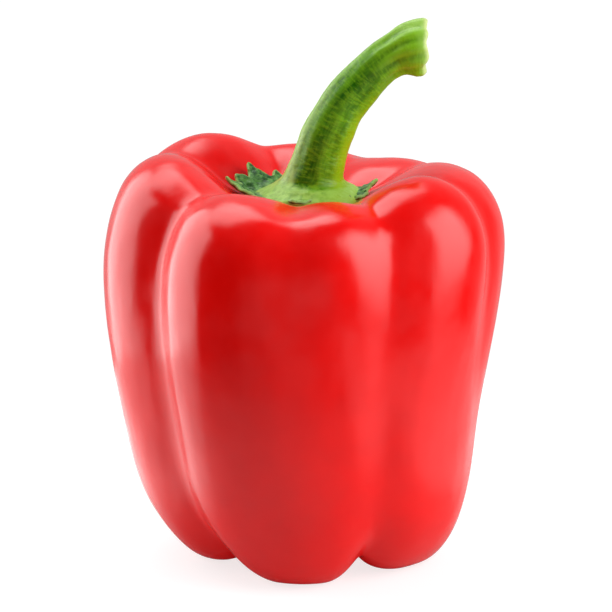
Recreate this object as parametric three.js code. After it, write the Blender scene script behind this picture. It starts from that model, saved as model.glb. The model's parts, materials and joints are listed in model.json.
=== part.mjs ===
// A blocky red bell pepper standing on its four lobes: the fruit, the green calyx
// in the hollow of its crown, and the bent stem that flares where it meets the calyx.
// Millimetres, +Z up. The origin is under the middle of the fruit, on the surface it
// stands on. Bearings are degrees round +Z from +X, so 270 is the front.
import * as THREE from "three";

const degrees = THREE.MathUtils.degToRad;
const { lerp, smoothstep } = THREE.MathUtils;

// ---- Driving dimensions ---------------------------------------------------------------

const FRUIT_COLUMNS = 96;
const FRUIT_ROWS = 48;
const RIM_SHARE = 0.75; // where the rim of the crown is, as a share of the section
const HALVINGS = 24; // steps of the search for a place on the crown

// Half of the fruit's long section, [radius, height], from the hollow under the base,
// round a foot, up the flank, over the rim of the shoulder and down to the crown.
const OUTLINE = [
  [0, 9], [7, 6.5], [14, 1.6], [20, -0.4], [27, 1.6], [33, 9], [36.8, 19], [39, 33],
  [41.2, 50], [42.9, 66], [42, 76], [37.5, 83], [30, 86], [23, 84.5], [16.5, 81], [10, 78.5], [0, 78],
];

// Furrows between the lobes, and the shorter creases that run down from the crown. Each
// has its bearings at the base, flank and crown, the width of one side in degrees, and its
// depths at the sole, toe, lower flank, flank, shoulder, rim and throat.
const FURROWS = [
  { bearings: [240, 217, 228], width: 13, depths: [6, 6, 4.2, 3.8, 6.2, 3.2, 1.5] },
  { bearings: [303, 295, 299], width: 10, depths: [5, 5, 2.2, 2, 3.4, 2.8, 2] },
  { bearings: [32, 30, 30], width: 13, depths: [6, 6, 3, 1.5, 2, 2, 2] },
  { bearings: [118, 112, 105], width: 12, depths: [6, 6, 3, 2.5, 3, 2.4, 2] },
  { bearings: [265, 265, 265], width: 9, depths: [0, 0, 0, 0.2, 1.5, 2, 1] },
  { bearings: [340, 340, 339], width: 8, depths: [0, 0, 0, 1, 3.6, 2.4, 1] },
  { bearings: [68, 68, 68], width: 9, depths: [0, 0, 0, 0, 0.8, 1.2, 1] },
  { bearings: [160, 160, 160], width: 10, depths: [0, 0, 0, 0.4, 1.4, 2, 1.5] },
];

// How far each lobe swells past the outline at the same places, and the bearing it
// reaches to each side.
const LOBES = [
  { bearing: 182, span: 44, swells: [0.6, -1, 0.2, 1.7, -0.2, 2.6, 0] },
  { bearing: 136, span: 42, swells: [0, 0, 0, 0, 1, 3, 0] },
  { bearing: 60, span: 46, swells: [0.4, 0.4, 0, 0, -0.5, -3, 0] },
  { bearing: 8, span: 44, swells: [0, 0, -4, 0.4, 0, -0.3, 0] },
  { bearing: 346, span: 40, swells: [-1, 1.8, 1.6, -0.9, 0, 0, 0] },
  { bearing: 268, span: 46, swells: [0.5, 1, 0, 0, 1.2, -2.4, 0] },
  { bearing: 246, span: 36, swells: [0, 0, 0.6, 2.4, 1.4, 0.3, 0] },
  { bearing: 328, span: 28, swells: [0, 0, 0, 0.3, 1.8, 1.4, 0] },
];

const GAP = 0.35; // air between pieces that lie on each other

const CALYX_COLUMNS = 72;
const CALYX_THICKNESS = 1.2;
const CALYX_BED = 11.2; // radius of the middle, level on top, that the stem stands on
const CALYX_LEVEL = 80.4; // height of that level
const CALYX_RADIUS = 12.2; // reach between the points
const CALYX_STEP = 1.5; // width of the step from the middle down to the leaves
const CALYX_RINGS = [0, 0.4, 0.65, 0.76, 0.84, 0.92, 1]; // as shares of the reach
// Points of the calyx, by bearing, with the reach from the axis.
const SEPALS = [
  { bearing: 20, span: 34, reach: 5.5 },
  { bearing: 85, span: 30, reach: 3.5 },
  { bearing: 136, span: 24, reach: 6.5 },
  { bearing: 182, span: 26, reach: 5 },
  { bearing: 238, span: 28, reach: 2.5 },
  { bearing: 292, span: 30, reach: 3 },
];

const STEM_COLUMNS = 28;
const STEM_STEPS = 30;
// Middle line of the stem, [x, z], from the calyx to the cut end.
const STEM_LINE = [
  [1.8, 80.8], [2.6, 85], [4.6, 91.5], [8.2, 98.9], [13, 104.8], [17.6, 108.6], [21.5, 110.6], [25.8, 111.5],
];
// Radius of the stem at even steps along it: its flared foot, its waist and the knob.
const STEM_RADII = [10.5, 6.1, 5.5, 5.1, 4.8, 4.6, 4.6, 4.9, 5.6];
const STEM_RIDGES = 6;
const STEM_RIDGE_SHARE = 0.03; // height of a ridge, as a share of the radius
// The foot is level and the cut end faces sideways and a little down.
const STEM_FOOT_FACING = new THREE.Vector3(0, 0, 1);
const STEM_CUT_FACING = new THREE.Vector3(1, 0, -0.08).normalize();

// ---- Shared helpers -------------------------------------------------------------------

// Degrees from one bearing to another by the shorter way, without a sign.
function apart(a, b) {
  return Math.abs(THREE.MathUtils.euclideanModulo(a - b + 180, 360) - 180);
}

// A round hump that is one at no distance and nothing from a distance of one on.
function hump(distance) {
  return 0.5 + 0.5 * Math.cos(Math.PI * Math.min(distance, 1));
}

// The value at a share of the way along a list of values, by a smooth curve through them.
function along(values, share) {
  const curve = new THREE.SplineCurve(values.map((value, i) => new THREE.Vector2(i, value)));
  return curve.getPoint(share).y;
}

// ---- Fruit ----------------------------------------------------------------------------

const section = new THREE.SplineCurve(OUTLINE.map(([r, z]) => new THREE.Vector2(r, z)));

// Height of the skin over the plain section, along its normal.
function relief(bearing, share) {
  let height = 0;
  for (const lobe of LOBES) {
    height += along([0, ...lobe.swells, 0], share) * hump(apart(bearing, lobe.bearing) / lobe.span);
  }
  for (const furrow of FURROWS) {
    const off = apart(bearing, along(furrow.bearings, share)) / furrow.width;
    height -= along([0, ...furrow.depths, 0], share) * Math.exp(-(off ** 1.5));
  }
  return height;
}

// Distance from the axis and height of the skin.
function skinAt(bearing, share) {
  const on = section.getPoint(share);
  const tangent = section.getTangent(share);
  const height = relief(bearing, share);
  return new THREE.Vector2(on.x + tangent.y * height, Math.max(on.y - tangent.x * height, 0));
}

// Height of the crown's skin at a radius inside the rim.
function crownHeight(bearing, radius) {
  let outer = RIM_SHARE;
  let inner = 1;
  for (let i = 0; i < HALVINGS; i++) {
    const middle = (outer + inner) / 2;
    if (skinAt(bearing, middle).x > radius) {
      outer = middle;
    } else {
      inner = middle;
    }
  }
  return skinAt(bearing, inner).y;
}

function place(position, index, bearing, radius, height) {
  const angle = degrees(bearing);
  position.setXYZ(index, radius * Math.cos(angle), radius * Math.sin(angle), height);
}

function makeFruit() {
  const fruit = new THREE.LatheGeometry(section.getPoints(FRUIT_ROWS), FRUIT_COLUMNS);
  const { position, uv } = fruit.attributes;
  for (let i = 0; i < position.count; i++) {
    const bearing = (uv.getX(i) % 1) * 360;
    const skin = skinAt(bearing, uv.getY(i));
    place(position, i, bearing, skin.x, skin.y);
  }
  fruit.computeVertexNormals();
  return fruit;
}

// ---- Calyx ----------------------------------------------------------------------------

function calyxReach(bearing) {
  let reach = CALYX_RADIUS;
  for (const sepal of SEPALS) {
    reach += sepal.reach * hump(apart(bearing, sepal.bearing) / sepal.span);
  }
  return reach;
}

function makeCalyx() {
  const under = CALYX_RINGS.map((share) => new THREE.Vector2(share, 0));
  const over = CALYX_RINGS.map((share) => new THREE.Vector2(share, 1)).reverse();
  const calyx = new THREE.LatheGeometry([...under, ...over], CALYX_COLUMNS);
  const { position, uv } = calyx.attributes;
  for (let i = 0; i < position.count; i++) {
    const bearing = (uv.getX(i) % 1) * 360;
    const radius = Math.hypot(position.getX(i), position.getZ(i)) * calyxReach(bearing);
    const under = crownHeight(bearing, radius) + GAP;
    const leaf = smoothstep(radius, CALYX_BED, CALYX_BED + CALYX_STEP);
    const over = lerp(CALYX_LEVEL, under + CALYX_THICKNESS, leaf);
    place(position, i, bearing, radius, lerp(under, over, position.getY(i)));
  }
  calyx.computeVertexNormals();
  return calyx;
}

// ---- Stem -----------------------------------------------------------------------------

// Direction that the stem faces at a share of its length.
function stemFacing(line, share) {
  if (share === 0) {
    return STEM_FOOT_FACING;
  }
  if (share === 1) {
    return STEM_CUT_FACING;
  }
  return line.getTangentAt(share);
}

function makeStem() {
  const line = new THREE.CatmullRomCurve3(STEM_LINE.map(([x, z]) => new THREE.Vector3(x, 0, z)));
  const shares = Array.from({ length: STEM_STEPS + 1 }, (_, i) => i / STEM_STEPS);
  const wall = shares.map((share) => new THREE.Vector2(along(STEM_RADII, share), share));
  const profile = [new THREE.Vector2(0, 0), ...wall, new THREE.Vector2(0, 1)];
  const stem = new THREE.LatheGeometry(profile, STEM_COLUMNS);
  const { position, uv } = stem.attributes;
  const across = new THREE.Vector3(0, 1, 0);
  for (let i = 0; i < position.count; i++) {
    const turn = degrees((uv.getX(i) % 1) * 360);
    const share = position.getY(i);
    const ridge = 1 + STEM_RIDGE_SHARE * Math.cos(STEM_RIDGES * turn);
    const radius = Math.hypot(position.getX(i), position.getZ(i)) * ridge;
    const outwards = new THREE.Vector3().crossVectors(across, stemFacing(line, share));
    const point = line.getPointAt(share);
    point.addScaledVector(outwards, radius * Math.cos(turn));
    point.addScaledVector(across, radius * Math.sin(turn));
    position.setXYZ(i, point.x, point.y, point.z);
  }
  stem.computeVertexNormals();
  return stem;
}

// ---- The pepper -----------------------------------------------------------------------

function piece(name, geometry, color, roughness) {
  const material = new THREE.MeshStandardMaterial({ color, roughness, metalness: 0 });
  const mesh = new THREE.Mesh(geometry, material);
  mesh.name = name;
  return mesh;
}

const pepper = new THREE.Group();
pepper.add(piece("fruit", makeFruit(), 0xd81a12, 0.25));
pepper.add(piece("calyx", makeCalyx(), 0x3c7a35, 0.5));
pepper.add(piece("stem", makeStem(), 0x6f9e2e, 0.45));

// The origin goes under the middle of the whole.
const box = new THREE.Box3().setFromObject(pepper);
const middle = box.getCenter(new THREE.Vector3());
pepper.position.set(-middle.x, -middle.y, -box.min.z);

export default pepper;
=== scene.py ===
"""A blocky red bell pepper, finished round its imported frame. Metres, +Z up, -Y is the front."""

import json
import logging
import math
from collections.abc import Iterator, Sequence
from contextlib import contextmanager
from dataclasses import dataclass
from enum import Enum

import bpy
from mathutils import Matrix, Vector, noise
from mathutils.bvhtree import BVHTree

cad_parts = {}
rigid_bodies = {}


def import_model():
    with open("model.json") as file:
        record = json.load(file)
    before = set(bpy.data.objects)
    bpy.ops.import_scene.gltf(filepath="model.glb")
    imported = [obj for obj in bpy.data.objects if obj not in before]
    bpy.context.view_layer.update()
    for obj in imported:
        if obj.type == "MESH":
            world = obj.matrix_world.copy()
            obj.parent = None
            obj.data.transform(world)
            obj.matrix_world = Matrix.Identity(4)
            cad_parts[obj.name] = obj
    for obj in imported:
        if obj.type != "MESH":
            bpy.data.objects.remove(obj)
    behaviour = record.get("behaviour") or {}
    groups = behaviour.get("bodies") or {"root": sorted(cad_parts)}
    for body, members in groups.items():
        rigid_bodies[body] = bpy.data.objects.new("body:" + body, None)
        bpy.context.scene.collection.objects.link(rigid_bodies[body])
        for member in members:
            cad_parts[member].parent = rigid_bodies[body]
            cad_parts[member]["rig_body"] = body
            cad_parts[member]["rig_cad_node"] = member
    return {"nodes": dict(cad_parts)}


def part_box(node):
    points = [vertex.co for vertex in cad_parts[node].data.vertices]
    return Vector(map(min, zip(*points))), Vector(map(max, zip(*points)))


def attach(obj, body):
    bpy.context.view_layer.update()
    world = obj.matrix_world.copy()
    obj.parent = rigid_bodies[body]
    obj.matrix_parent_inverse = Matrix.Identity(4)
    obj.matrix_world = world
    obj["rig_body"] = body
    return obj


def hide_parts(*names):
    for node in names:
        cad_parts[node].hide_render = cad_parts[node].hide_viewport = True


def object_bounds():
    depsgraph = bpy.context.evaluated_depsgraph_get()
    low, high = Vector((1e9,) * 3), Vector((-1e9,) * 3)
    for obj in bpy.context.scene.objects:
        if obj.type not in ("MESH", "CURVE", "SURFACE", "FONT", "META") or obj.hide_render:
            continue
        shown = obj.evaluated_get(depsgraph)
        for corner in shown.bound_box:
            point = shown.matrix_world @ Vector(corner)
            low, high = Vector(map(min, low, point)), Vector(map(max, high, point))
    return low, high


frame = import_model()
CAD_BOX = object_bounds()

log = logging.getLogger("pepper")

MM = 0.001
BODY = "root"

Object = bpy.types.Object
Material = bpy.types.Material
Tree = bpy.types.NodeTree
Node = bpy.types.Node
Socket = bpy.types.NodeSocket
Triple = tuple[float, float, float]
Colour = Triple
Ramp = tuple[float, float]
Rows = Sequence[Sequence[float]]


class Slot(Enum):
    """The record's material slots."""

    SKIN = "skin"
    CALYX = "calyx"
    STEM = "stem"


# ---- Working with objects ---------------------------------------------------------------


def deselect_all() -> None:
    """Leave nothing selected."""
    for obj in bpy.context.scene.objects:
        obj.select_set(False)


def take(obj: Object) -> Object:
    """Select one object alone and make it the active one.

    Args:
        obj: the object.

    Returns:
        The same object.
    """
    deselect_all()
    obj.select_set(True)
    bpy.context.view_layer.objects.active = obj
    return obj


@contextmanager
def editing(obj: Object) -> Iterator[None]:
    """Edit mode on one object, with all of it selected at the start.

    Args:
        obj: the mesh object.

    Returns:
        A context, inside which the edits are made.
    """
    take(obj)
    bpy.ops.object.mode_set(mode="EDIT")
    bpy.ops.mesh.select_all(action="SELECT")
    yield
    bpy.ops.object.mode_set(mode="OBJECT")


def name_piece(name: str) -> Object:
    """Name the active object and its mesh.

    Args:
        name: the piece's name.

    Returns:
        The object.
    """
    piece = bpy.context.active_object
    piece.name = name
    piece.data.name = name
    return piece


def apply_subdivision(piece: Object, levels: int) -> None:
    """Round a piece off with subdivision and keep the result as its mesh.

    Args:
        piece: the mesh object.
        levels: how many times each face is split.
    """
    take(piece)
    rounding = piece.modifiers.new("rounding", "SUBSURF")
    rounding.levels = levels
    rounding.render_levels = levels
    bpy.ops.object.modifier_apply(modifier=rounding.name)


def hand_over(piece: Object, node: str, slot: Slot, material: Material) -> None:
    """Dress a finished piece and let it stand for its frame node.

    Args:
        piece: the finished mesh object, at the origin.
        node: the frame node that it replaces.
        slot: the record's slot for its finish, which is only written to the log.
        material: its material.
    """
    piece.data.materials.clear()
    piece.data.materials.append(material)
    piece.data.shade_smooth()
    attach(piece, BODY)
    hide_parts(node)
    log.info("%s: %d faces, %s slot", piece.name, len(piece.data.polygons), slot.value)


# ---- Shapes in numbers ------------------------------------------------------------------


def apart(a: float, b: float) -> float:
    """Degrees from bearing a to bearing b by the shorter way, without a sign."""
    return abs((a - b + 180) % 360 - 180)


def bearing_of(point: Vector) -> float:
    """Bearing of a point from the origin, in degrees round +Z from +X."""
    return math.degrees(math.atan2(point.y, point.x)) % 360


def ease(value: float, start: float, end: float) -> float:
    """Smooth step from nought at start to one at end."""
    share = min(max((value - start) / (end - start), 0), 1)
    return share * share * (3 - 2 * share)


def hump(distance: float) -> float:
    """A round hump: one at no distance, nothing from a distance of one on."""
    return 0.5 + 0.5 * math.cos(math.pi * min(distance, 1))


def through(values: Rows, where: float) -> list[float]:
    """A smooth curve through rows of numbers, at a place counted in rows.

    Args:
        values: the rows, each with the same count of numbers.
        where: the place, from nought at the first row.

    Returns:
        The row at that place.
    """
    last = len(values) - 1
    i = min(int(where), last - 1)
    t = where - i
    p0, p1 = values[max(i - 1, 0)], values[i]
    p2, p3 = values[i + 1], values[min(i + 2, last)]
    return [
        0.5 * (2 * b + (c - a) * t + (2 * a - 5 * b + 4 * c - d) * t * t + (3 * b - a - 3 * c + d) * t**3)
        for a, b, c, d in zip(p0, p1, p2, p3)
    ]


def smoothed(values: Rows, parts: int = 12) -> list[list[float]]:
    """Rows on a smooth curve through the given rows.

    Args:
        values: the rows that the curve goes through.
        parts: how many steps there are from one given row to the next.

    Returns:
        The closer rows.
    """
    return [through(values, i / parts) for i in range(parts * (len(values) - 1) + 1)]


def read(table: Rows, where: float) -> float:
    """Second number of a table at a place in its first, on straight lines between rows.

    Args:
        table: the rows, with rising first numbers.
        where: the place.

    Returns:
        The number there.
    """
    for (a, low), (b, high) in zip(table, table[1:]):
        if where <= b:
            return low + (high - low) * max(where - a, 0) / max(b - a, 1e-9)
    return table[-1][1]


def rough(x: float, y: float, z: float, size: float) -> float:
    """Smooth random height between about -1 and 1, with bumps of a given size."""
    return noise.noise(Vector((x, y, z)) / size)


# ---- Materials --------------------------------------------------------------------------


@dataclass(frozen=True)
class Relief:
    """How strongly a finish's bump shows, and what one unit of its height is in metres."""

    strength: float
    depth: float


class NodeSheet:
    """A node tree that is being wired, with short calls for what is used often."""

    def __init__(self, tree: Tree) -> None:
        """Start on a material's, world's, light's or group's node tree."""
        self.tree = tree

    def add(self, kind: str, **values: object) -> Node:
        """Add a node and set its properties.

        Args:
            kind: the node's type name.
            values: its properties by name.

        Returns:
            The node.
        """
        node = self.tree.nodes.new(kind)
        for name, value in values.items():
            setattr(node, name, value)
        return node

    def feed(self, socket: Socket, value: object) -> None:
        """Link an output to an input, or set the input if the value is a plain one.

        Args:
            socket: the input.
            value: an output, or the plain value.
        """
        if isinstance(value, Socket):
            self.tree.links.new(value, socket)
        else:
            socket.default_value = value

    def noise(self, vector: Socket, scale: object, detail: float = 2.0) -> Socket:
        """Cloudy noise over a vector, as a number from nought to one.

        Args:
            vector: where it is read.
            scale: cells per metre.
            detail: how many finer layers it has.

        Returns:
            The output.
        """
        node = self.add("ShaderNodeTexNoise")
        self.feed(node.inputs["Vector"], vector)
        self.feed(node.inputs["Scale"], scale)
        self.feed(node.inputs["Detail"], detail)
        return node.outputs["Fac"]

    def attribute(self, name: str) -> Node:
        """A piece's own attribute, by name."""
        return self.add("ShaderNodeAttribute", attribute_name=name)

    def split(self, vector: Socket) -> Node:
        """Part a vector into its three numbers.

        Args:
            vector: the vector.

        Returns:
            The node, with an X, a Y and a Z output.
        """
        node = self.add("ShaderNodeSeparateXYZ")
        self.feed(node.inputs[0], vector)
        return node

    def length(self, vector: Socket) -> Socket:
        """Measure a vector.

        Args:
            vector: the vector.

        Returns:
            The output with its length.
        """
        node = self.add("ShaderNodeVectorMath", operation="LENGTH")
        self.feed(node.inputs[0], vector)
        return node.outputs["Value"]

    def stretch(self, vector: Socket, scale: Triple) -> Socket:
        """Scale a vector along its three axes.

        Args:
            vector: the vector.
            scale: the factor on each axis; a low one draws a pattern out.

        Returns:
            The output.
        """
        node = self.add("ShaderNodeMapping")
        self.feed(node.inputs["Vector"], vector)
        node.inputs["Scale"].default_value = scale
        return node.outputs["Vector"]

    def math(self, operation: str, a: object, b: object) -> Socket:
        """One arithmetic step on two numbers.

        Args:
            operation: the step's name.
            a: the first number, plain or as an output.
            b: the second.

        Returns:
            The output.
        """
        node = self.add("ShaderNodeMath", operation=operation)
        self.feed(node.inputs[0], a)
        self.feed(node.inputs[1], b)
        return node.outputs[0]

    def plus(self, value: object, extra: object, share: object) -> Socket:
        """One number plus a share of another."""
        return self.math("ADD", value, self.math("MULTIPLY", extra, share))

    def spread(
        self, value: object, low: object, high: object, start: object = 0.0, end: object = 1.0
    ) -> Socket:
        """Map a number from low..high to start..end, smoothly and within the ends.

        Args:
            value: the number.
            low: what becomes start.
            high: what becomes end.
            start: the result at low.
            end: the result at high.

        Returns:
            The output.
        """
        node = self.add("ShaderNodeMapRange", interpolation_type="SMOOTHSTEP")
        names = ("Value", "From Min", "From Max", "To Min", "To Max")
        for name, given in zip(names, (value, low, high, start, end)):
            self.feed(node.inputs[name], given)
        return node.outputs["Result"]

    def mix(self, share: object, a: object, b: object) -> Socket:
        """Blend two colours.

        Args:
            share: how much of b shows.
            a: the first colour, as an output or as (r, g, b, 1).
            b: the second.

        Returns:
            The output.
        """
        node = self.add("ShaderNodeMix", data_type="RGBA")
        self.feed(node.inputs["Factor"], share)
        self.feed(node.inputs["A"], a)
        self.feed(node.inputs["B"], b)
        return node.outputs["Result"]

    def group(self, tree: Tree, **values: object) -> Node:
        """Place a node group and feed its inputs.

        Args:
            tree: the group.
            values: what its inputs get, by name.

        Returns:
            The group's node.
        """
        node = self.add("ShaderNodeGroup", node_tree=tree)
        for name, value in values.items():
            self.feed(node.inputs[name], value)
        return node

    def bump(self, shader: Node, height: Socket, relief: Relief) -> None:
        """Raise a fine relief on a shader's surface.

        Args:
            shader: the shader.
            height: the relief, as a number.
            relief: how strong and how deep it is.
        """
        node = self.add("ShaderNodeBump")
        node.inputs["Strength"].default_value = relief.strength
        node.inputs["Distance"].default_value = relief.depth
        self.feed(node.inputs["Height"], height)
        self.feed(shader.inputs["Normal"], node.outputs["Normal"])


def solid(colour: Colour) -> tuple[float, float, float, float]:
    """A colour with full cover."""
    return (*colour, 1.0)


def start_group(
    name: str, inputs: Sequence[tuple[str, str, object]], outputs: Sequence[tuple[str, str]]
) -> tuple[Tree, NodeSheet, Node, Node]:
    """Start a shader node group with named sockets.

    Args:
        name: the group's name.
        inputs: each input's name, type and default.
        outputs: each output's name and type.

    Returns:
        The tree, its sheet, the group's input node and its output node.
    """
    tree = bpy.data.node_groups.new(name, "ShaderNodeTree")
    for label, kind, value in inputs:
        socket = tree.interface.new_socket(label, in_out="INPUT", socket_type=f"NodeSocket{kind}")
        if value is not None:
            socket.default_value = value
    for label, kind in outputs:
        tree.interface.new_socket(label, in_out="OUTPUT", socket_type=f"NodeSocket{kind}")
    sheet = NodeSheet(tree)
    return tree, sheet, sheet.add("NodeGroupInput"), sheet.add("NodeGroupOutput")


def make_mottle_group() -> Tree:
    """Uneven plant colour: broad clouds with finer flecks between two colours.

    Returns:
        The group, with a Colour and a Mask output.
    """
    tree, sheet, given, made = start_group(
        "plant_mottle",
        [
            ("Vector", "Vector", None),
            ("Scale", "Float", 40.0),
            ("Low", "Color", None),
            ("High", "Color", None),
            ("Edge", "Float", 0.25),
        ],
        [("Colour", "Color"), ("Mask", "Float")],
    )
    clouds = sheet.noise(given.outputs["Vector"], given.outputs["Scale"], 3.0)
    finer = sheet.math("MULTIPLY", given.outputs["Scale"], 5.0)
    flecks = sheet.noise(given.outputs["Vector"], finer, 2.0)
    both = sheet.plus(sheet.math("MULTIPLY", clouds, 0.72), flecks, 0.28)
    low = sheet.math("SUBTRACT", 0.5, given.outputs["Edge"])
    high = sheet.math("ADD", 0.5, given.outputs["Edge"])
    mask = sheet.spread(both, low, high)
    sheet.feed(made.inputs["Colour"], sheet.mix(mask, given.outputs["Low"], given.outputs["High"]))
    sheet.feed(made.inputs["Mask"], mask)
    return tree


def make_grain_group() -> Tree:
    """Fine relief of a plant's surface: shallow dents with cell-sized grain on them.

    Returns:
        The group, with a Height output.
    """
    tree, sheet, given, made = start_group(
        "plant_grain",
        [("Vector", "Vector", None), ("Scale", "Float", 500.0), ("Dents", "Float", 0.5)],
        [("Height", "Float")],
    )
    grain = sheet.noise(given.outputs["Vector"], given.outputs["Scale"], 2.0)
    wider = sheet.math("MULTIPLY", given.outputs["Scale"], 0.22)
    dents = sheet.noise(given.outputs["Vector"], wider, 1.0)
    deep = sheet.math("MULTIPLY", dents, given.outputs["Dents"])
    sheet.feed(made.inputs["Height"], sheet.plus(deep, grain, 0.3))
    return tree


@dataclass(frozen=True)
class Effects:
    """Node groups that the finishes share."""

    mottle: Tree
    grain: Tree


def start_material(name: str) -> tuple[Material, NodeSheet, Node, Socket]:
    """Start a material on Object coordinates.

    Args:
        name: the material's name.

    Returns:
        The material, its sheet, its shader and the coordinates.
    """
    material = bpy.data.materials.new(name)
    material.use_nodes = True
    sheet = NodeSheet(material.node_tree)
    shader = material.node_tree.nodes["Principled BSDF"]
    return material, sheet, shader, sheet.add("ShaderNodeTexCoord").outputs["Object"]


@dataclass(frozen=True)
class SkinFinish:
    """Ripe red pepper skin: waxy, glossy and close to one colour, with a small scar at its blossom end."""

    deep: Colour = (0.7, 0.0005, 0.0005)
    bright: Colour = (0.82, 0.0015, 0.0005)
    scar: Colour = (0.2, 0.085, 0.025)
    scar_radius: float = 0.003
    scar_edge: float = 0.0012
    scar_top: float = 0.03
    gloss: float = 0.2
    ior: float = 1.48
    relief: Relief = Relief(0.25, 0.00008)

    def make(self, effects: Effects) -> Material:
        """Build the material.

        Args:
            effects: the shared node groups.

        Returns:
            The material.
        """
        material, sheet, shader, place = start_material("pepper_skin")
        deep, bright = solid(self.deep), solid(self.bright)
        mottle = sheet.group(effects.mottle, Vector=place, Scale=28.0, Low=deep, High=bright)
        scarred = sheet.mix(self.scar_share(sheet, place), mottle.outputs["Colour"], solid(self.scar))
        sheet.feed(shader.inputs["Base Color"], scarred)
        wax = sheet.noise(place, 160.0, 3.0)
        waxy = sheet.spread(wax, 0.3, 0.7, self.gloss - 0.03, self.gloss + 0.05)
        sheet.feed(shader.inputs["Roughness"], waxy)
        shader.inputs["IOR"].default_value = self.ior
        grain = sheet.group(effects.grain, Vector=place, Scale=900.0, Dents=1.2)
        streaks = sheet.noise(sheet.stretch(place, (1.0, 1.0, 0.15)), 240.0)
        sheet.bump(shader, sheet.plus(grain.outputs["Height"], streaks, 3.0), self.relief)
        return material

    def scar_share(self, sheet: NodeSheet, place: Socket) -> Socket:
        """How much of the scar shows: a ragged spot on the axis, on the base but not on the crown.

        Args:
            sheet: the material's node sheet.
            place: the Object coordinates.

        Returns:
            The share, from nought to one.
        """
        off_axis = sheet.length(sheet.stretch(place, (1.0, 1.0, 0.0)))
        ragged = sheet.plus(off_axis, sheet.noise(place, 900.0), 0.002)
        spot = sheet.spread(ragged, self.scar_radius + self.scar_edge, self.scar_radius)
        low = sheet.spread(sheet.split(place).outputs["Z"], self.scar_top, self.scar_top - 0.005)
        return sheet.math("MULTIPLY", spot, low)


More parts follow.
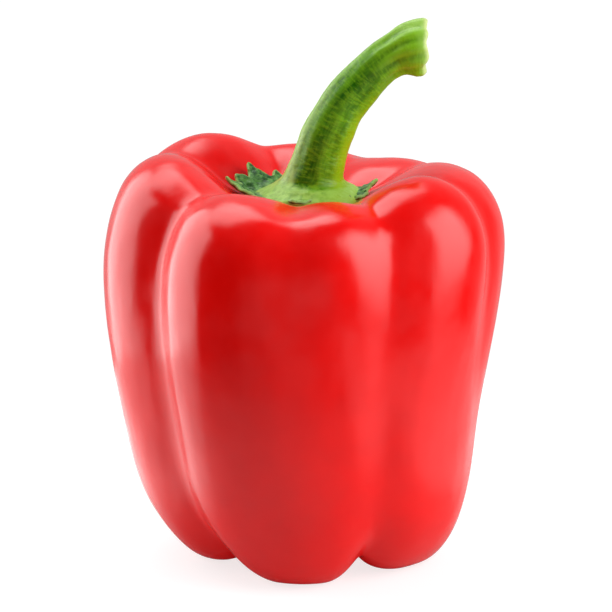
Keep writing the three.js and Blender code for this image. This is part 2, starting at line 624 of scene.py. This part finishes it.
@dataclass(frozen=True)
class StemFinish:
    """Fresh stalk: dark green, pale at foot and cut, with painted light: a pale painted highlight on the
    outer side of its bend, painted shade in the grooves between its ribs, and a lighter, olive inner side
    that is partly its own tone and partly painted bounce light.
    """

    dark: Colour = (0.012, 0.1, 0.0005)
    light: Colour = (0.11, 0.31, 0.005)
    fresh: Colour = (0.24, 0.5, 0.012)
    olive: Colour = (0.27, 0.44, 0.001)
    pale: Colour = (0.32, 0.56, 0.09)
    cut: Colour = (0.55, 0.62, 0.25)
    along: Triple = (1.0, 1.0, 0.18)
    across: Triple = (0.3, 0.3, 1.0)
    crease_scale: float = 1700.0
    foot_end: float = 0.0048
    knob_start: float = 0.031
    knob_full: float = 0.0425
    specular: float = 0.26
    relief: Relief = Relief(0.6, 0.0003)

    def make(self, effects: Effects) -> Material:
        """Build the material, which reads where the straight stem would have each point.

        Args:
            effects: the shared node groups.

        Returns:
            The material.
        """
        material, sheet, shader, place = start_material("pepper_stem")
        grown = sheet.attribute(Stem.GROWN).outputs["Vector"]
        ridge = sheet.attribute(Stem.RIDGE).outputs["Fac"]
        creases = sheet.noise(sheet.stretch(grown, self.across), self.crease_scale, 3.0)
        streaks = sheet.stretch(grown, self.along)
        side = sheet.plus(sheet.split(grown).outputs["X"], sheet.noise(streaks, 300.0), 0.002)
        flank = self.colour_flank(effects, sheet, streaks, ridge, side)
        scratched = sheet.mix(sheet.spread(creases, 0.46, 0.64, 0.0, 0.36), flank, solid(self.fresh))
        ends_and_highlight = self.colour_ends_and_highlight(sheet, grown, ridge, side, scratched)
        sheet.feed(shader.inputs["Base Color"], ends_and_highlight)
        sheet.feed(shader.inputs["Roughness"], sheet.spread(sheet.noise(place, 700.0), 0.3, 0.7, 0.27, 0.4))
        shader.inputs["Specular IOR Level"].default_value = self.specular
        drawn_out = sheet.stretch(grown, (1.0, 1.0, 0.14))
        fibres = sheet.group(effects.grain, Vector=drawn_out, Scale=1500.0, Dents=0.8)
        sheet.bump(shader, sheet.plus(fibres.outputs["Height"], creases, 0.6), self.relief)
        return material

    def colour_flank(
        self, effects: Effects, sheet: NodeSheet, streaks: Socket, ridge: Socket, side: Socket
    ) -> Socket:
        """Colour of the plain flank: dark streaks, with painted light on the rib crests, and a lighter, olive
        inner side that is partly its own tone and partly painted light and bounce from the red fruit.

        Args:
            effects: the shared node groups.
            sheet: the material's node sheet.
            streaks: the grown place, drawn out along the stem.
            ridge: how high the rib is, from nought to one.
            side: how far the point is towards the side that the stem bends to.

        Returns:
            The colour.
        """
        dark, light = solid(self.dark), solid(self.light)
        mottle = sheet.group(effects.mottle, Vector=streaks, Scale=420.0, Low=dark, High=light, Edge=0.14)
        # Painted light: the inner side of the bend, towards the right softbox and the red fruit, is
        # lightened.
        inner = sheet.spread(side, 0.001, 0.0048, 0.0, 0.8)
        # Painted light on the rib crests, so that the grooves between them stay darker as if shaded.
        lit = sheet.math("MAXIMUM", sheet.math("MULTIPLY", ridge, 0.5), inner)
        mottle_and_painted_light = sheet.mix(lit, mottle.outputs["Colour"], light)
        # The olive inner side is partly the stem's own tone and partly painted bounce light from the red
        # fruit.
        return sheet.mix(sheet.spread(side, 0.0032, 0.0066, 0.0, 0.85), mottle_and_painted_light, solid(self.olive))

    def colour_ends_and_highlight(
        self, sheet: NodeSheet, grown: Socket, ridge: Socket, side: Socket, flank: Socket
    ) -> Socket:
        """Colour of the whole stem: the flank, with a fresh knob whose grooves get painted shade, a pale
        painted highlight down the outer side of the bend, a pale foot, and the cut.

        Args:
            sheet: the material's node sheet.
            grown: the grown place.
            ridge: how high the rib is, from nought to one.
            side: how far the point is towards the side that the stem bends to.
            flank: the colour between the ends.

        Returns:
            The colour.
        """
        height = sheet.split(grown).outputs["Z"]
        length = sheet.plus(height, sheet.noise(grown, 420.0, 3.0), 0.0014)
        # Painted shade: the knob's fresh colour is weaker in the grooves between the ribs, so they read as
        # shaded.
        painted_crest_light = sheet.spread(ridge, 0.0, 0.9, 0.4, 1.0)
        swelling = sheet.spread(length, self.knob_start, self.knob_full, 0.0, 0.85)
        knob = sheet.mix(sheet.math("MULTIPLY", swelling, painted_crest_light), flank, solid(self.fresh))
        # Painted highlight: the outer side of the bend, which faces the left softbox, is coloured pale as if
        # lit.
        highlit_outer_side = sheet.spread(side, -0.0028, -0.0044)
        foot = sheet.spread(length, self.foot_end + 0.0008, self.foot_end, 0.0, 0.85)
        lip = sheet.spread(length, Stem.CUT - 0.002, Stem.CUT, 0.0, 0.6)
        # The pale share joins the real pale foot and cut lip with the painted highlight on the outer side.
        ends_and_highlight = sheet.math("MAXIMUM", sheet.math("MAXIMUM", highlit_outer_side, lip), foot)
        flecks = sheet.spread(sheet.noise(grown, 900.0, 3.0), 0.3, 0.62, 0.6, 1.0)
        pale_ends_and_highlight = sheet.mix(sheet.math("MULTIPLY", ends_and_highlight, flecks), knob, solid(self.pale))
        face = sheet.spread(height, Stem.CUT - 0.0012, Stem.CUT, 0.0, 0.8)
        return sheet.mix(face, pale_ends_and_highlight, solid(self.cut))


@dataclass(frozen=True)
class CalyxFinish:
    """Leathery blue-green collar, wrinkled, with a paler rim and a paler middle."""

    dark: Colour = (0.01, 0.085, 0.012)
    light: Colour = (0.14, 0.37, 0.07)
    pale: Colour = (0.3, 0.52, 0.12)
    rim_start: float = 0.955
    middle: Ramp = (0.55, 0.15)
    specular: float = 0.4
    relief: Relief = Relief(0.9, 0.0009)

    def make(self, effects: Effects) -> Material:
        """Build the material.

        Args:
            effects: the shared node groups.

        Returns:
            The material.
        """
        material, sheet, shader, place = start_material("pepper_calyx")
        dark, light = solid(self.dark), solid(self.light)
        mottle = sheet.group(effects.mottle, Vector=place, Scale=620.0, Low=dark, High=light, Edge=0.13)
        share = sheet.attribute(Calyx.SHARE).outputs["Fac"]
        rim = sheet.spread(share, self.rim_start, 1.0, 0.0, 0.7)
        middle = sheet.spread(share, *self.middle, 0.0, 0.7)
        colour = sheet.mix(sheet.math("MAXIMUM", rim, middle), mottle.outputs["Colour"], solid(self.pale))
        sheet.feed(shader.inputs["Base Color"], colour)
        sheet.feed(shader.inputs["Roughness"], sheet.spread(mottle.outputs["Mask"], 0.0, 1.0, 0.5, 0.34))
        shader.inputs["Specular IOR Level"].default_value = self.specular
        grain = sheet.group(effects.grain, Vector=place, Scale=1900.0, Dents=2.4)
        sheet.bump(shader, grain.outputs["Height"], self.relief)
        return material


# ---- Fruit ------------------------------------------------------------------------------


@dataclass(frozen=True)
class Fruit:
    """The lobed red body, one piece as it grew.

    Loose triangle corners within merge, in metres, are joined. Triangles make a quad where they lie within
    flat_angle of each other and its corners within square_angle of square, in degrees. The dents are in
    millimetres.
    """

    node: str = "fruit"
    merge: float = 0.00001
    flat_angle: float = 60.0
    square_angle: float = 90.0
    levels: int = 2
    broad_dents: float = 0.16
    fine_dents: float = 0.05

    def build(self, skin: Material) -> Object:
        """Take the frame's body, join its loose triangles and round them off.

        Args:
            skin: the skin material.

        Returns:
            The finished fruit.
        """
        take(frame["nodes"][self.node])
        bpy.ops.object.duplicate()
        fruit = name_piece("pepper_fruit")
        fruit.parent = None
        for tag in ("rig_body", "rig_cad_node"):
            del fruit[tag]
        with editing(fruit):
            bpy.ops.mesh.remove_doubles(threshold=self.merge)
            bpy.ops.mesh.tris_convert_to_quads(
                face_threshold=math.radians(self.flat_angle), shape_threshold=math.radians(self.square_angle)
            )
        if fruit.data.has_custom_normals:
            bpy.ops.mesh.customdata_custom_splitnormals_clear()
        apply_subdivision(fruit, self.levels)
        self.uneven(fruit)
        hand_over(fruit, self.node, Slot.SKIN, skin)
        return fruit

    def uneven(self, fruit: Object) -> None:
        """Give the skin the shallow unevenness of a grown thing, least where it stands.

        Args:
            fruit: the smooth fruit.
        """
        normals = [vertex.normal.copy() for vertex in fruit.data.vertices]
        for vertex, normal in zip(fruit.data.vertices, normals):
            x, y, z = vertex.co / MM
            height = self.broad_dents * rough(x, y, z * 0.35, 8) + self.fine_dents * rough(x, y, z * 0.5, 3)
            vertex.co += normal * height * ease(z, 1, 12) * MM
        fruit.data.update()


# ---- Calyx ------------------------------------------------------------------------------


@dataclass(frozen=True)
class Sepal:
    """One ragged point of the calyx: bearing and half width in degrees, reach and lift in millimetres."""

    bearing: float
    half_width: float
    reach: float
    lift: float


@dataclass(frozen=True)
class Calyx:
    """The wrinkled green collar that lies in the hollow of the crown, with its sizes in millimetres.

    Its rings first go out evenly from start to twice start, so that a point's place tells its share of the
    way to the rim. bed is the radius that the collar has without its sepals.
    """

    SHARE = "reach_share"

    node: str = "calyx"
    columns: int = 260
    rings: int = 20
    start: float = 7.0
    bed: float = 10.2
    gap: float = 0.3
    thickness: float = 0.8
    coarse_teeth: float = 0.7
    fine_teeth: float = 0.45
    broad_folds: float = 0.5
    sharp_folds: float = 1.1
    puff: float = 0.7
    rim_turn: float = 0.35
    sepals: tuple[Sepal, ...] = (
        Sepal(8, 22, 5.9, 0.5),
        Sepal(50, 24, 1.8, 0.1),
        Sepal(88, 18, 3.4, 0.3),
        Sepal(112, 18, 6.2, 0.6),
        Sepal(134, 20, 7.4, 1.1),
        Sepal(152, 20, 6.8, 0.6),
        Sepal(171, 22, 6.2, 0.3),
        Sepal(189, 17, 6.8, 0.9),
        Sepal(214, 20, 2.6, 0.3),
        Sepal(326, 14, 1.8, 0.1),
        Sepal(345, 18, 4.4, 0.2),
    )

    def reach(self, bearing: float) -> tuple[float, float]:
        """How far the calyx reaches on a bearing.

        Args:
            bearing: degrees round the stem.

        Returns:
            The reach from the axis and the lift of its rim, both in millimetres.
        """
        longest, lift = 0.0, 0.0
        for sepal in self.sepals:
            off = min(apart(bearing, sepal.bearing) / sepal.half_width, 1)
            leaf = 0.75 * (1 - off**2) ** 0.7 + 0.25 * max(1 - 3 * off, 0)
            longest = max(longest, sepal.reach * leaf)
            lift += sepal.lift * hump(off)
        turn = math.radians(bearing)
        ragged = self.coarse_teeth * rough(math.cos(turn), math.sin(turn), 3, 0.21)
        ragged += self.fine_teeth * rough(math.cos(turn), math.sin(turn), 7, 0.08)
        return self.bed + longest + ragged, lift

    def fold(self, x: float, y: float) -> float:
        """Height of the wrinkles at a place on the collar, over the plain leaf."""
        return self.broad_folds * rough(x, y, 0, 2.3) - self.sharp_folds * abs(rough(x, y, 40, 1.3))

    def build(self, fruit: Object, finish: Material) -> Object:
        """Spread a disc of rings over the crown and give it ragged points and thickness.

        Args:
            fruit: the finished fruit that it lies on.
            finish: the calyx material.

        Returns:
            The finished calyx.
        """
        deselect_all()
        bpy.ops.mesh.primitive_circle_add(vertices=self.columns, radius=self.start * MM, fill_type="NOTHING")
        calyx = name_piece("pepper_calyx")
        with editing(calyx):
            for ring in range(1, self.rings):
                grow = 1 + 1 / (self.rings + ring - 2)
                bpy.ops.mesh.extrude_region_move()
                bpy.ops.transform.resize(value=(grow, grow, 1))
        self.lay(calyx, fruit)
        wall = calyx.modifiers.new("wall", "SOLIDIFY")
        wall.thickness = self.thickness * MM
        wall.offset = 0
        take(calyx)
        bpy.ops.object.modifier_apply(modifier=wall.name)
        with editing(calyx):
            bpy.ops.mesh.normals_make_consistent(inside=False)
        apply_subdivision(calyx, 1)
        hand_over(calyx, self.node, Slot.CALYX, finish)
        return calyx

    def lay(self, calyx: Object, fruit: Object) -> None:
        """Draw the flat rings out to the ragged outline and let them down on the crown.

        Args:
            calyx: the flat rings.
            fruit: the fruit that they come to lie on.
        """
        crown = BVHTree.FromObject(fruit, bpy.context.evaluated_depsgraph_get())
        shares = calyx.data.attributes.new(self.SHARE, "FLOAT", "POINT")
        top = CAD_BOX[1].z
        for vertex in calyx.data.vertices:
            share = max(vertex.co.length / (self.start * MM) - 1, 0)
            bearing = bearing_of(vertex.co)
            reach, lift = self.reach(bearing)
            radius = self.start + (reach - self.start) * share
            x, y = radius * math.cos(math.radians(bearing)), radius * math.sin(math.radians(bearing))
            height = crown.ray_cast(Vector((x * MM, y * MM, top)), Vector((0, 0, -1)))[0].z
            rise = (self.puff + self.fold(x, y)) * ease(share, 0, 0.35)
            rise += lift * share**2.5 + self.rim_turn * ease(share, 0.88, 1)
            vertex.co = (x * MM, y * MM, height + (self.gap + self.thickness / 2 + max(rise, 0)) * MM)
            shares.data[vertex.index].value = share


# ---- Stem -------------------------------------------------------------------------------


@dataclass(frozen=True)
class Stem:
    """The bent stalk, from its flared foot in the calyx to its cut end, with its sizes in millimetres.

    sink is how far the foot goes down into the calyx below the frame's stem. line is the middle line: X
    from the pepper's axis, and the height over the foot. radii is the plain radius by length, and ridges
    the bearing and height of each rib. reach is how far from a ring's middle its points can be. CUT is the
    whole length in metres.
    """

    GROWN = "grown"
    RIDGE = "ridge"
    CUT = 0.0468

    node: str = "stem"
    columns: int = 72
    steps: int = 72
    sink: float = 2.636
    line: tuple[tuple[float, float], ...] = (
        (1.5, 0), (2.5, 6.7), (4.6, 13.6), (8.2, 21), (13, 27), (17.6, 30.9), (21.5, 32.9), (26, 33.8),
    )
    radii: tuple[tuple[float, float], ...] = (
        (0, 11.6), (1.2, 11.6), (2.0, 11.3), (2.8, 10.4), (3.6, 9.1), (4.4, 7.9), (5.6, 6.7),
        (7.2, 6.05), (10, 5.7), (14, 5.5), (21, 5.1), (28, 4.8), (34, 4.55),
        (38.5, 4.5), (40.5, 4.85), (42.3, 5.6), (44, 6.0), (46.2, 6.0), (46.8, 5.6),
    )
    ridges: tuple[tuple[float, float], ...] = (
        (12, 0.3), (52, 0.22), (96, 0.28), (150, 0.26), (196, 0.3),
        (232, 0.22), (262, 0.3), (294, 0.24), (328, 0.3),
    )
    rib_width: float = 17
    rib_turn: float = 14
    twist: float = 0.35
    full_rib: float = 0.35
    foot_bulge: float = 0.7
    foot_hollow: float = 0.6
    foot_waves: float = 0.45
    foot_lumps: float = 0.8
    dents: float = 0.35
    neck_groove: float = 0.7
    crinkle: float = 0.1
    cut_wave: float = 0.9
    cut_rings: tuple[tuple[float, float], ...] = ((0.5, 0.05), (0.7, -0.25), (1.2, -0.35), (1.5, -0.1))
    reach: float = 12.5
    foot_facing: Vector = Vector((0, 0, 1))
    cut_facing: Vector = Vector((1, 0, -0.02)).normalized()

    def centres(self) -> list[Vector]:
        """Points along the middle line, evenly spaced.

        Returns:
            One point for each ring, in metres.
        """
        foot = Vector((0, 0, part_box(self.node)[0].z - self.sink * MM))
        fine = smoothed(self.line, 60)
        walked = [0.0]
        for a, b in zip(fine, fine[1:]):
            walked.append(walked[-1] + math.dist(a, b))
        across = [(length, x) for length, (x, _) in zip(walked, fine)]
        up = [(length, z) for length, (_, z) in zip(walked, fine)]
        lengths = [walked[-1] * step / self.steps for step in range(self.steps + 1)]
        return [foot + Vector((read(across, length), 0, read(up, length))) * MM for length in lengths]

    def facings(self, centres: Sequence[Vector]) -> list[Vector]:
        """Direction that each ring faces: level at the foot, along the line, then as it is cut.

        Args:
            centres: the middle of each ring.

        Returns:
            One direction for each ring.
        """
        facings = []
        for step in range(self.steps + 1):
            ahead = centres[min(step + 1, self.steps)] - centres[max(step - 1, 0)]
            level = 1 - ease(step, 4, 12)
            cut = ease(step, self.steps - 5, self.steps)
            mixed = ahead.normalized() * (1 - level) + self.foot_facing * level
            facings.append((mixed * (1 - cut) + self.cut_facing * cut).normalized())
        return facings

    def ribs(self, turn: float, length: float) -> float:
        """Height of the lengthwise ribs in millimetres, strongest on the knob.

        Args:
            turn: degrees round the stem, nought on the side it bends to.
            length: along the stem, in millimetres.

        Returns:
            The height over the plain radius.
        """
        height = 0.0
        for bearing, rise in self.ridges:
            off = apart(turn + self.twist * length, bearing + self.rib_turn)
            height += rise * hump(off / self.rib_width)
        return height * (0.45 + 1.4 * ease(length, 31, 43)) * ease(length, 4, 9)

    def relief(self, turn: float, length: float) -> float:
        """How far the surface stands off the plain radius.

        Args:
            turn: degrees round the stem, nought on the side it bends to.
            length: along the stem, in millimetres.

        Returns:
            The height in millimetres.
        """
        x, y = math.cos(math.radians(turn)) * 5, math.sin(math.radians(turn)) * 5
        foot = 1 - ease(length, 2.0, 5.2)
        height = self.ribs(turn, length)
        height += foot * self.foot_bulge * hump(apart(turn, 205) / 55)
        height -= foot * self.foot_hollow * hump(apart(turn, 0) / 60)
        height += foot * self.foot_waves * math.sin(math.radians(5 * turn))
        height += foot * self.foot_lumps * rough(x, y, length * 0.6, 1.6)
        height += self.dents * rough(x, y, length * 0.6, 4.0) * ease(length, 3, 9)
        height -= self.neck_groove * hump((length - 4.9) / 0.9) * hump(apart(turn, 250) / 75)
        return height + self.crinkle * rough(x, y, length, 1.1)

    def build(self, finish: Material) -> Object:
        """Draw the stem out ring by ring along its line, then shape its surface.

        Args:
            finish: the stem material.

        Returns:
            The finished stem.
        """
        centres = self.centres()
        facings = self.facings(centres)
        spread = smoothed(self.radii)
        sizes = [read(spread, self.CUT / MM * step / self.steps) for step in range(self.steps + 1)]
        deselect_all()
        bpy.ops.mesh.primitive_circle_add(
            vertices=self.columns, radius=sizes[0] * MM, fill_type="NGON", location=centres[0]
        )
        stem = name_piece("pepper_stem")
        bpy.ops.object.transform_apply(location=True, rotation=True, scale=True)
        with editing(stem):
            for step in range(1, self.steps + 1):
                here, was, facing = centres[step], facings[step - 1], facings[step]
                turn = was.angle(facing) * math.copysign(1, facing.x * was.z - facing.z * was.x)
                size = sizes[step] / sizes[step - 1]
                bpy.ops.mesh.extrude_region_move(TRANSFORM_OT_translate={"value": here - centres[step - 1]})
                bpy.ops.transform.rotate(value=-turn, orient_axis="Y", center_override=here)
                bpy.ops.transform.resize(value=(size, size, size), center_override=here)
            for width, depth in self.cut_rings:
                bpy.ops.mesh.inset(thickness=width * MM, depth=depth * MM)
        self.shape(stem, centres, facings, spread)
        apply_subdivision(stem, 1)
        hand_over(stem, self.node, Slot.STEM, finish)
        return stem

    def shape(self, stem: Object, centres: Sequence[Vector], facings: Sequence[Vector], spread: Rows) -> None:
        """Raise the ribs, the foot and the crinkles, and note where each point grew.

        Args:
            stem: the stem drawn out plain.
            centres: the middle of each ring.
            facings: the direction that each ring faces.
            spread: the plain radius by length.
        """
        stem.data.attributes.new(self.GROWN, "FLOAT_VECTOR", "POINT")
        stem.data.attributes.new(self.RIDGE, "FLOAT", "POINT")
        grown = stem.data.attributes[self.GROWN]
        ridge = stem.data.attributes[self.RIDGE]
        across = Vector((0, 1, 0))
        whole = self.CUT / MM
        for vertex in stem.data.vertices:
            near = [i for i, centre in enumerate(centres) if (vertex.co - centre).length < self.reach * MM]
            ring = min(near, key=lambda i: abs((vertex.co - centres[i]).dot(facings[i])))
            side = across.cross(facings[ring])
            off = vertex.co - centres[ring]
            angle = math.atan2(off.dot(across), off.dot(side))
            turn, x, y = math.degrees(angle), math.cos(angle), math.sin(angle)
            radius = off.length / MM
            length = whole * ring / self.steps
            share = min(radius / read(spread, length), 1)
            vertex.co += (side * x + across * y) * self.relief(turn, length) * share**3 * MM
            wave = self.cut_wave * rough(x * 5, y * 5, 60, 2.4) * ease(length, whole - 2.5, whole)
            vertex.co += facings[ring] * wave * share * MM
            grown.data[vertex.index].vector = Vector((x * radius, y * radius, length)) * MM
            ridge.data[vertex.index].value = min(self.ribs(turn, length) / self.full_rib, 1)
        stem.data.update()


# ---- Studio -----------------------------------------------------------------------------


@dataclass(frozen=True)
class Softbox:
    """A large soft light that faces the pepper, brighter in the middle than at its edges.

    edge is the share of each side that it fades over, foot how bright it is at its lowest, and shine
    whether the pepper's gloss mirrors it.
    """

    name: str
    bearing: float
    elevation: float
    distance: float
    width: float
    height: float
    radiance: float
    edge: float = 0.14
    foot: float = 1.0
    shine: bool = True

    def place(self, aim: Vector) -> None:
        """Hang the light.

        Args:
            aim: the point that it faces.
        """
        lamp = bpy.data.lights.new(self.name, "AREA")
        lamp.shape = "RECTANGLE"
        lamp.size = self.width
        lamp.size_y = self.height
        lamp.energy = self.radiance * self.width * self.height * math.pi
        lamp.use_nodes = True
        self.soften(NodeSheet(lamp.node_tree), lamp.node_tree.nodes["Emission"])
        light = bpy.data.objects.new(self.name, lamp)
        turn, rise = math.radians(self.bearing), math.radians(self.elevation)
        away = Vector((math.cos(turn) * math.cos(rise), math.sin(turn) * math.cos(rise), math.sin(rise)))
        light.location = aim + away * self.distance
        light.rotation_euler = away.to_track_quat("Z", "Y").to_euler()
        light.visible_camera = False
        light.visible_glossy = self.shine
        bpy.context.scene.collection.objects.link(light)

    def soften(self, sheet: NodeSheet, emission: Node) -> None:
        """Let the cloth's brightness fall off at its edges and towards its foot.

        Args:
            sheet: the light's node sheet.
            emission: its emission node.
        """
        parts = sheet.split(sheet.add("ShaderNodeNewGeometry").outputs["Parametric"])
        share = 1.0
        for axis in ("X", "Y"):
            other = sheet.math("SUBTRACT", 1.0, parts.outputs[axis])
            inner = sheet.math("MINIMUM", parts.outputs[axis], other)
            share = sheet.math("MULTIPLY", sheet.spread(inner, 0.0, self.edge), share)
        falling = sheet.spread(parts.outputs["Y"], 0.0, 0.65, self.foot, 1.0)
        sheet.feed(emission.inputs["Strength"], sheet.math("MULTIPLY", share, falling))


@dataclass(frozen=True)
class Studio:
    """White floor, a small white table, soft lights and the camera, in metres and degrees.

    The table shows the camera a shade and a glow of its own (seen_shade, seen_glow). The pepper sees its
    table_shade, a bounce in the diffuse light, and a brighter left and right side. A ramp is the pair of
    values that its light changes between: metres on the table, and the share of a direction in the world.
    """

    aim: Triple = (0.00045, 0.0, 0.055)
    elevation: float = 14.0
    distance: float = 0.7
    lens: float = 190.6
    clip_start: float = 0.05
    floor_size: float = 12.0
    floor_drop: float = 0.0005
    floor_glow: float = 1.05
    table_radius: float = 0.15
    table_core: float = 0.06
    table_shade: float = 0.5
    seen_shade: float = 0.32
    seen_glow: float = 0.765
    bounce: float = 0.3
    left_glow: float = 1.2
    left_ramp: Ramp = (-0.03, -0.065)
    left_front_ramp: Ramp = (-0.05, -0.01)
    right_glow: float = 0.7
    right_ramp: Ramp = (0.05, 0.08)
    fill: float = 0.6
    dim_side: float = 215.0
    dim_fill: float = 0.15
    dim_ramp: Ramp = (-0.1, 0.9)
    wall_glow: float = 0.45
    wall_ramp: Ramp = (0.1, 0.9)
    softboxes: tuple[Softbox, ...] = (
        Softbox("left_softbox", 156, 9, 0.8, width=1.04, height=1.3, radiance=3.25, foot=0.9),
        Softbox("back_softbox", 122, 60, 0.9, width=1.1, height=0.7, radiance=3.3, edge=0.3),
        Softbox("right_softbox", 344, 18, 0.8, width=0.86, height=1.7, radiance=4.6, edge=0.28, foot=0.45),
        Softbox("front_fill", 270, -28, 0.8, width=0.9, height=0.9, radiance=1.1, shine=False),
    )

    def build(self) -> None:
        """Set up the floor, world, lights and camera."""
        self.lay_floor()
        self.lay_table()
        self.set_world()
        for softbox in self.softboxes:
            softbox.place(Vector(self.aim))
        self.set_camera()
        bpy.context.scene.view_settings.view_transform = "Standard"
        log.info("studio: %d softboxes", len(self.softboxes))

    def lay_floor(self) -> None:
        """A plain white floor that is only seen, so that the softboxes can reach below it."""
        deselect_all()
        bpy.ops.mesh.primitive_plane_add(size=self.floor_size, location=(0, 0, -self.floor_drop))
        floor = name_piece("floor")
        floor.visible_diffuse = False
        floor.visible_glossy = False
        floor.visible_shadow = False
        floor.visible_transmission = False
        material, _, shader, _ = start_material("floor_white")
        shader.inputs["Base Color"].default_value = solid((0, 0, 0))
        shader.inputs["Specular IOR Level"].default_value = 0.0
        shader.inputs["Emission Color"].default_value = solid((1, 1, 1))
        shader.inputs["Emission Strength"].default_value = self.floor_glow
        floor.data.materials.append(material)

    def lay_table(self) -> None:
        """The small round table under the pepper, which takes its shadow and lights it from below."""
        deselect_all()
        bpy.ops.mesh.primitive_circle_add(vertices=96, radius=self.table_radius, fill_type="NGON")
        table = name_piece("table")
        material, sheet, shader, place = start_material("table_white")
        path = sheet.add("ShaderNodeLightPath")
        seen = path.outputs["Is Camera Ray"]
        unseen = sheet.math("SUBTRACT", 1.0, seen)
        off_axis = sheet.length(place)
        shade = sheet.spread(off_axis, self.table_core, self.table_radius, self.table_shade, 0.0)
        tone = sheet.plus(sheet.math("MULTIPLY", unseen, shade), seen, self.seen_shade)
        grey = sheet.add("ShaderNodeCombineColor")
        for channel in ("Red", "Green", "Blue"):
            sheet.feed(grey.inputs[channel], tone)
        sheet.feed(shader.inputs["Base Color"], grey.outputs["Color"])
        shader.inputs["Roughness"].default_value = 1.0
        shader.inputs["Specular IOR Level"].default_value = 0.0
        shader.inputs["Emission Color"].default_value = solid((1, 1, 1))
        hidden = sheet.math("MULTIPLY", unseen, self.glow_beside(sheet, place))
        lit = sheet.plus(hidden, path.outputs["Is Diffuse Ray"], self.bounce)
        sheet.feed(shader.inputs["Emission Strength"], sheet.plus(lit, seen, self.seen_glow))
        table.data.materials.append(material)

    def glow_beside(self, sheet: NodeSheet, place: Socket) -> Socket:
        """Glow of the table's left and right sides, which brightens the pepper's flanks.

        Args:
            sheet: the table material's node sheet.
            place: the Object coordinates.

        Returns:
            The strength of the glow.
        """
        parts = sheet.split(place)
        left = sheet.spread(parts.outputs["X"], *self.left_ramp, 0.0, self.left_glow)
        behind = sheet.spread(parts.outputs["Y"], *self.left_front_ramp)
        right = sheet.spread(parts.outputs["X"], *self.right_ramp, 0.0, self.right_glow)
        return sheet.plus(right, left, behind)

    def set_world(self) -> None:
        """White to the camera, a dark room with a dim back wall in reflections, and a fill for the rest."""
        world = bpy.data.worlds.new("studio")
        bpy.context.scene.world = world
        world.use_nodes = True
        sheet = NodeSheet(world.node_tree)
        background = world.node_tree.nodes["Background"]
        outwards = sheet.add("ShaderNodeTexCoord").outputs["Generated"]
        wall = sheet.spread(sheet.split(outwards).outputs["Y"], *self.wall_ramp, 0.0, self.wall_glow)
        towards = sheet.add("ShaderNodeVectorMath", operation="DOT_PRODUCT")
        turn = math.radians(self.dim_side)
        towards.inputs[1].default_value = (math.cos(turn), math.sin(turn), 0)
        sheet.feed(towards.inputs[0], outwards)
        fill = sheet.spread(towards.outputs["Value"], *self.dim_ramp, self.fill, self.dim_fill)
        path = sheet.add("ShaderNodeLightPath")
        lit = sheet.add("ShaderNodeMix", data_type="FLOAT")
        sheet.feed(lit.inputs["Factor"], path.outputs["Is Glossy Ray"])
        sheet.feed(lit.inputs["A"], fill)
        sheet.feed(lit.inputs["B"], wall)
        strength = sheet.math("MAXIMUM", lit.outputs["Result"], path.outputs["Is Camera Ray"])
        sheet.feed(background.inputs["Strength"], strength)
        background.inputs["Color"].default_value = solid((1, 1, 1))

    def set_camera(self) -> None:
        """The camera, looking a little down on the pepper from the front."""
        lens = bpy.data.cameras.new("camera")
        lens.lens = self.lens
        lens.clip_start = self.clip_start
        camera = bpy.data.objects.new("camera", lens)
        rise = math.radians(self.elevation)
        away = Vector((0, -math.cos(rise), math.sin(rise)))
        camera.location = Vector(self.aim) + away * self.distance
        camera.rotation_euler = away.to_track_quat("Z", "Y").to_euler()
        bpy.context.scene.collection.objects.link(camera)
        bpy.context.scene.camera = camera


def main() -> None:
    """Build the studio and the pepper's pieces in order."""
    logging.basicConfig(level=logging.INFO, format="%(message)s")
    Studio().build()
    effects = Effects(mottle=make_mottle_group(), grain=make_grain_group())
    fruit = Fruit().build(SkinFinish().make(effects))
    Calyx().build(fruit, CalyxFinish().make(effects))
    Stem().build(StemFinish().make(effects))


if __name__ == "__main__":
    main()
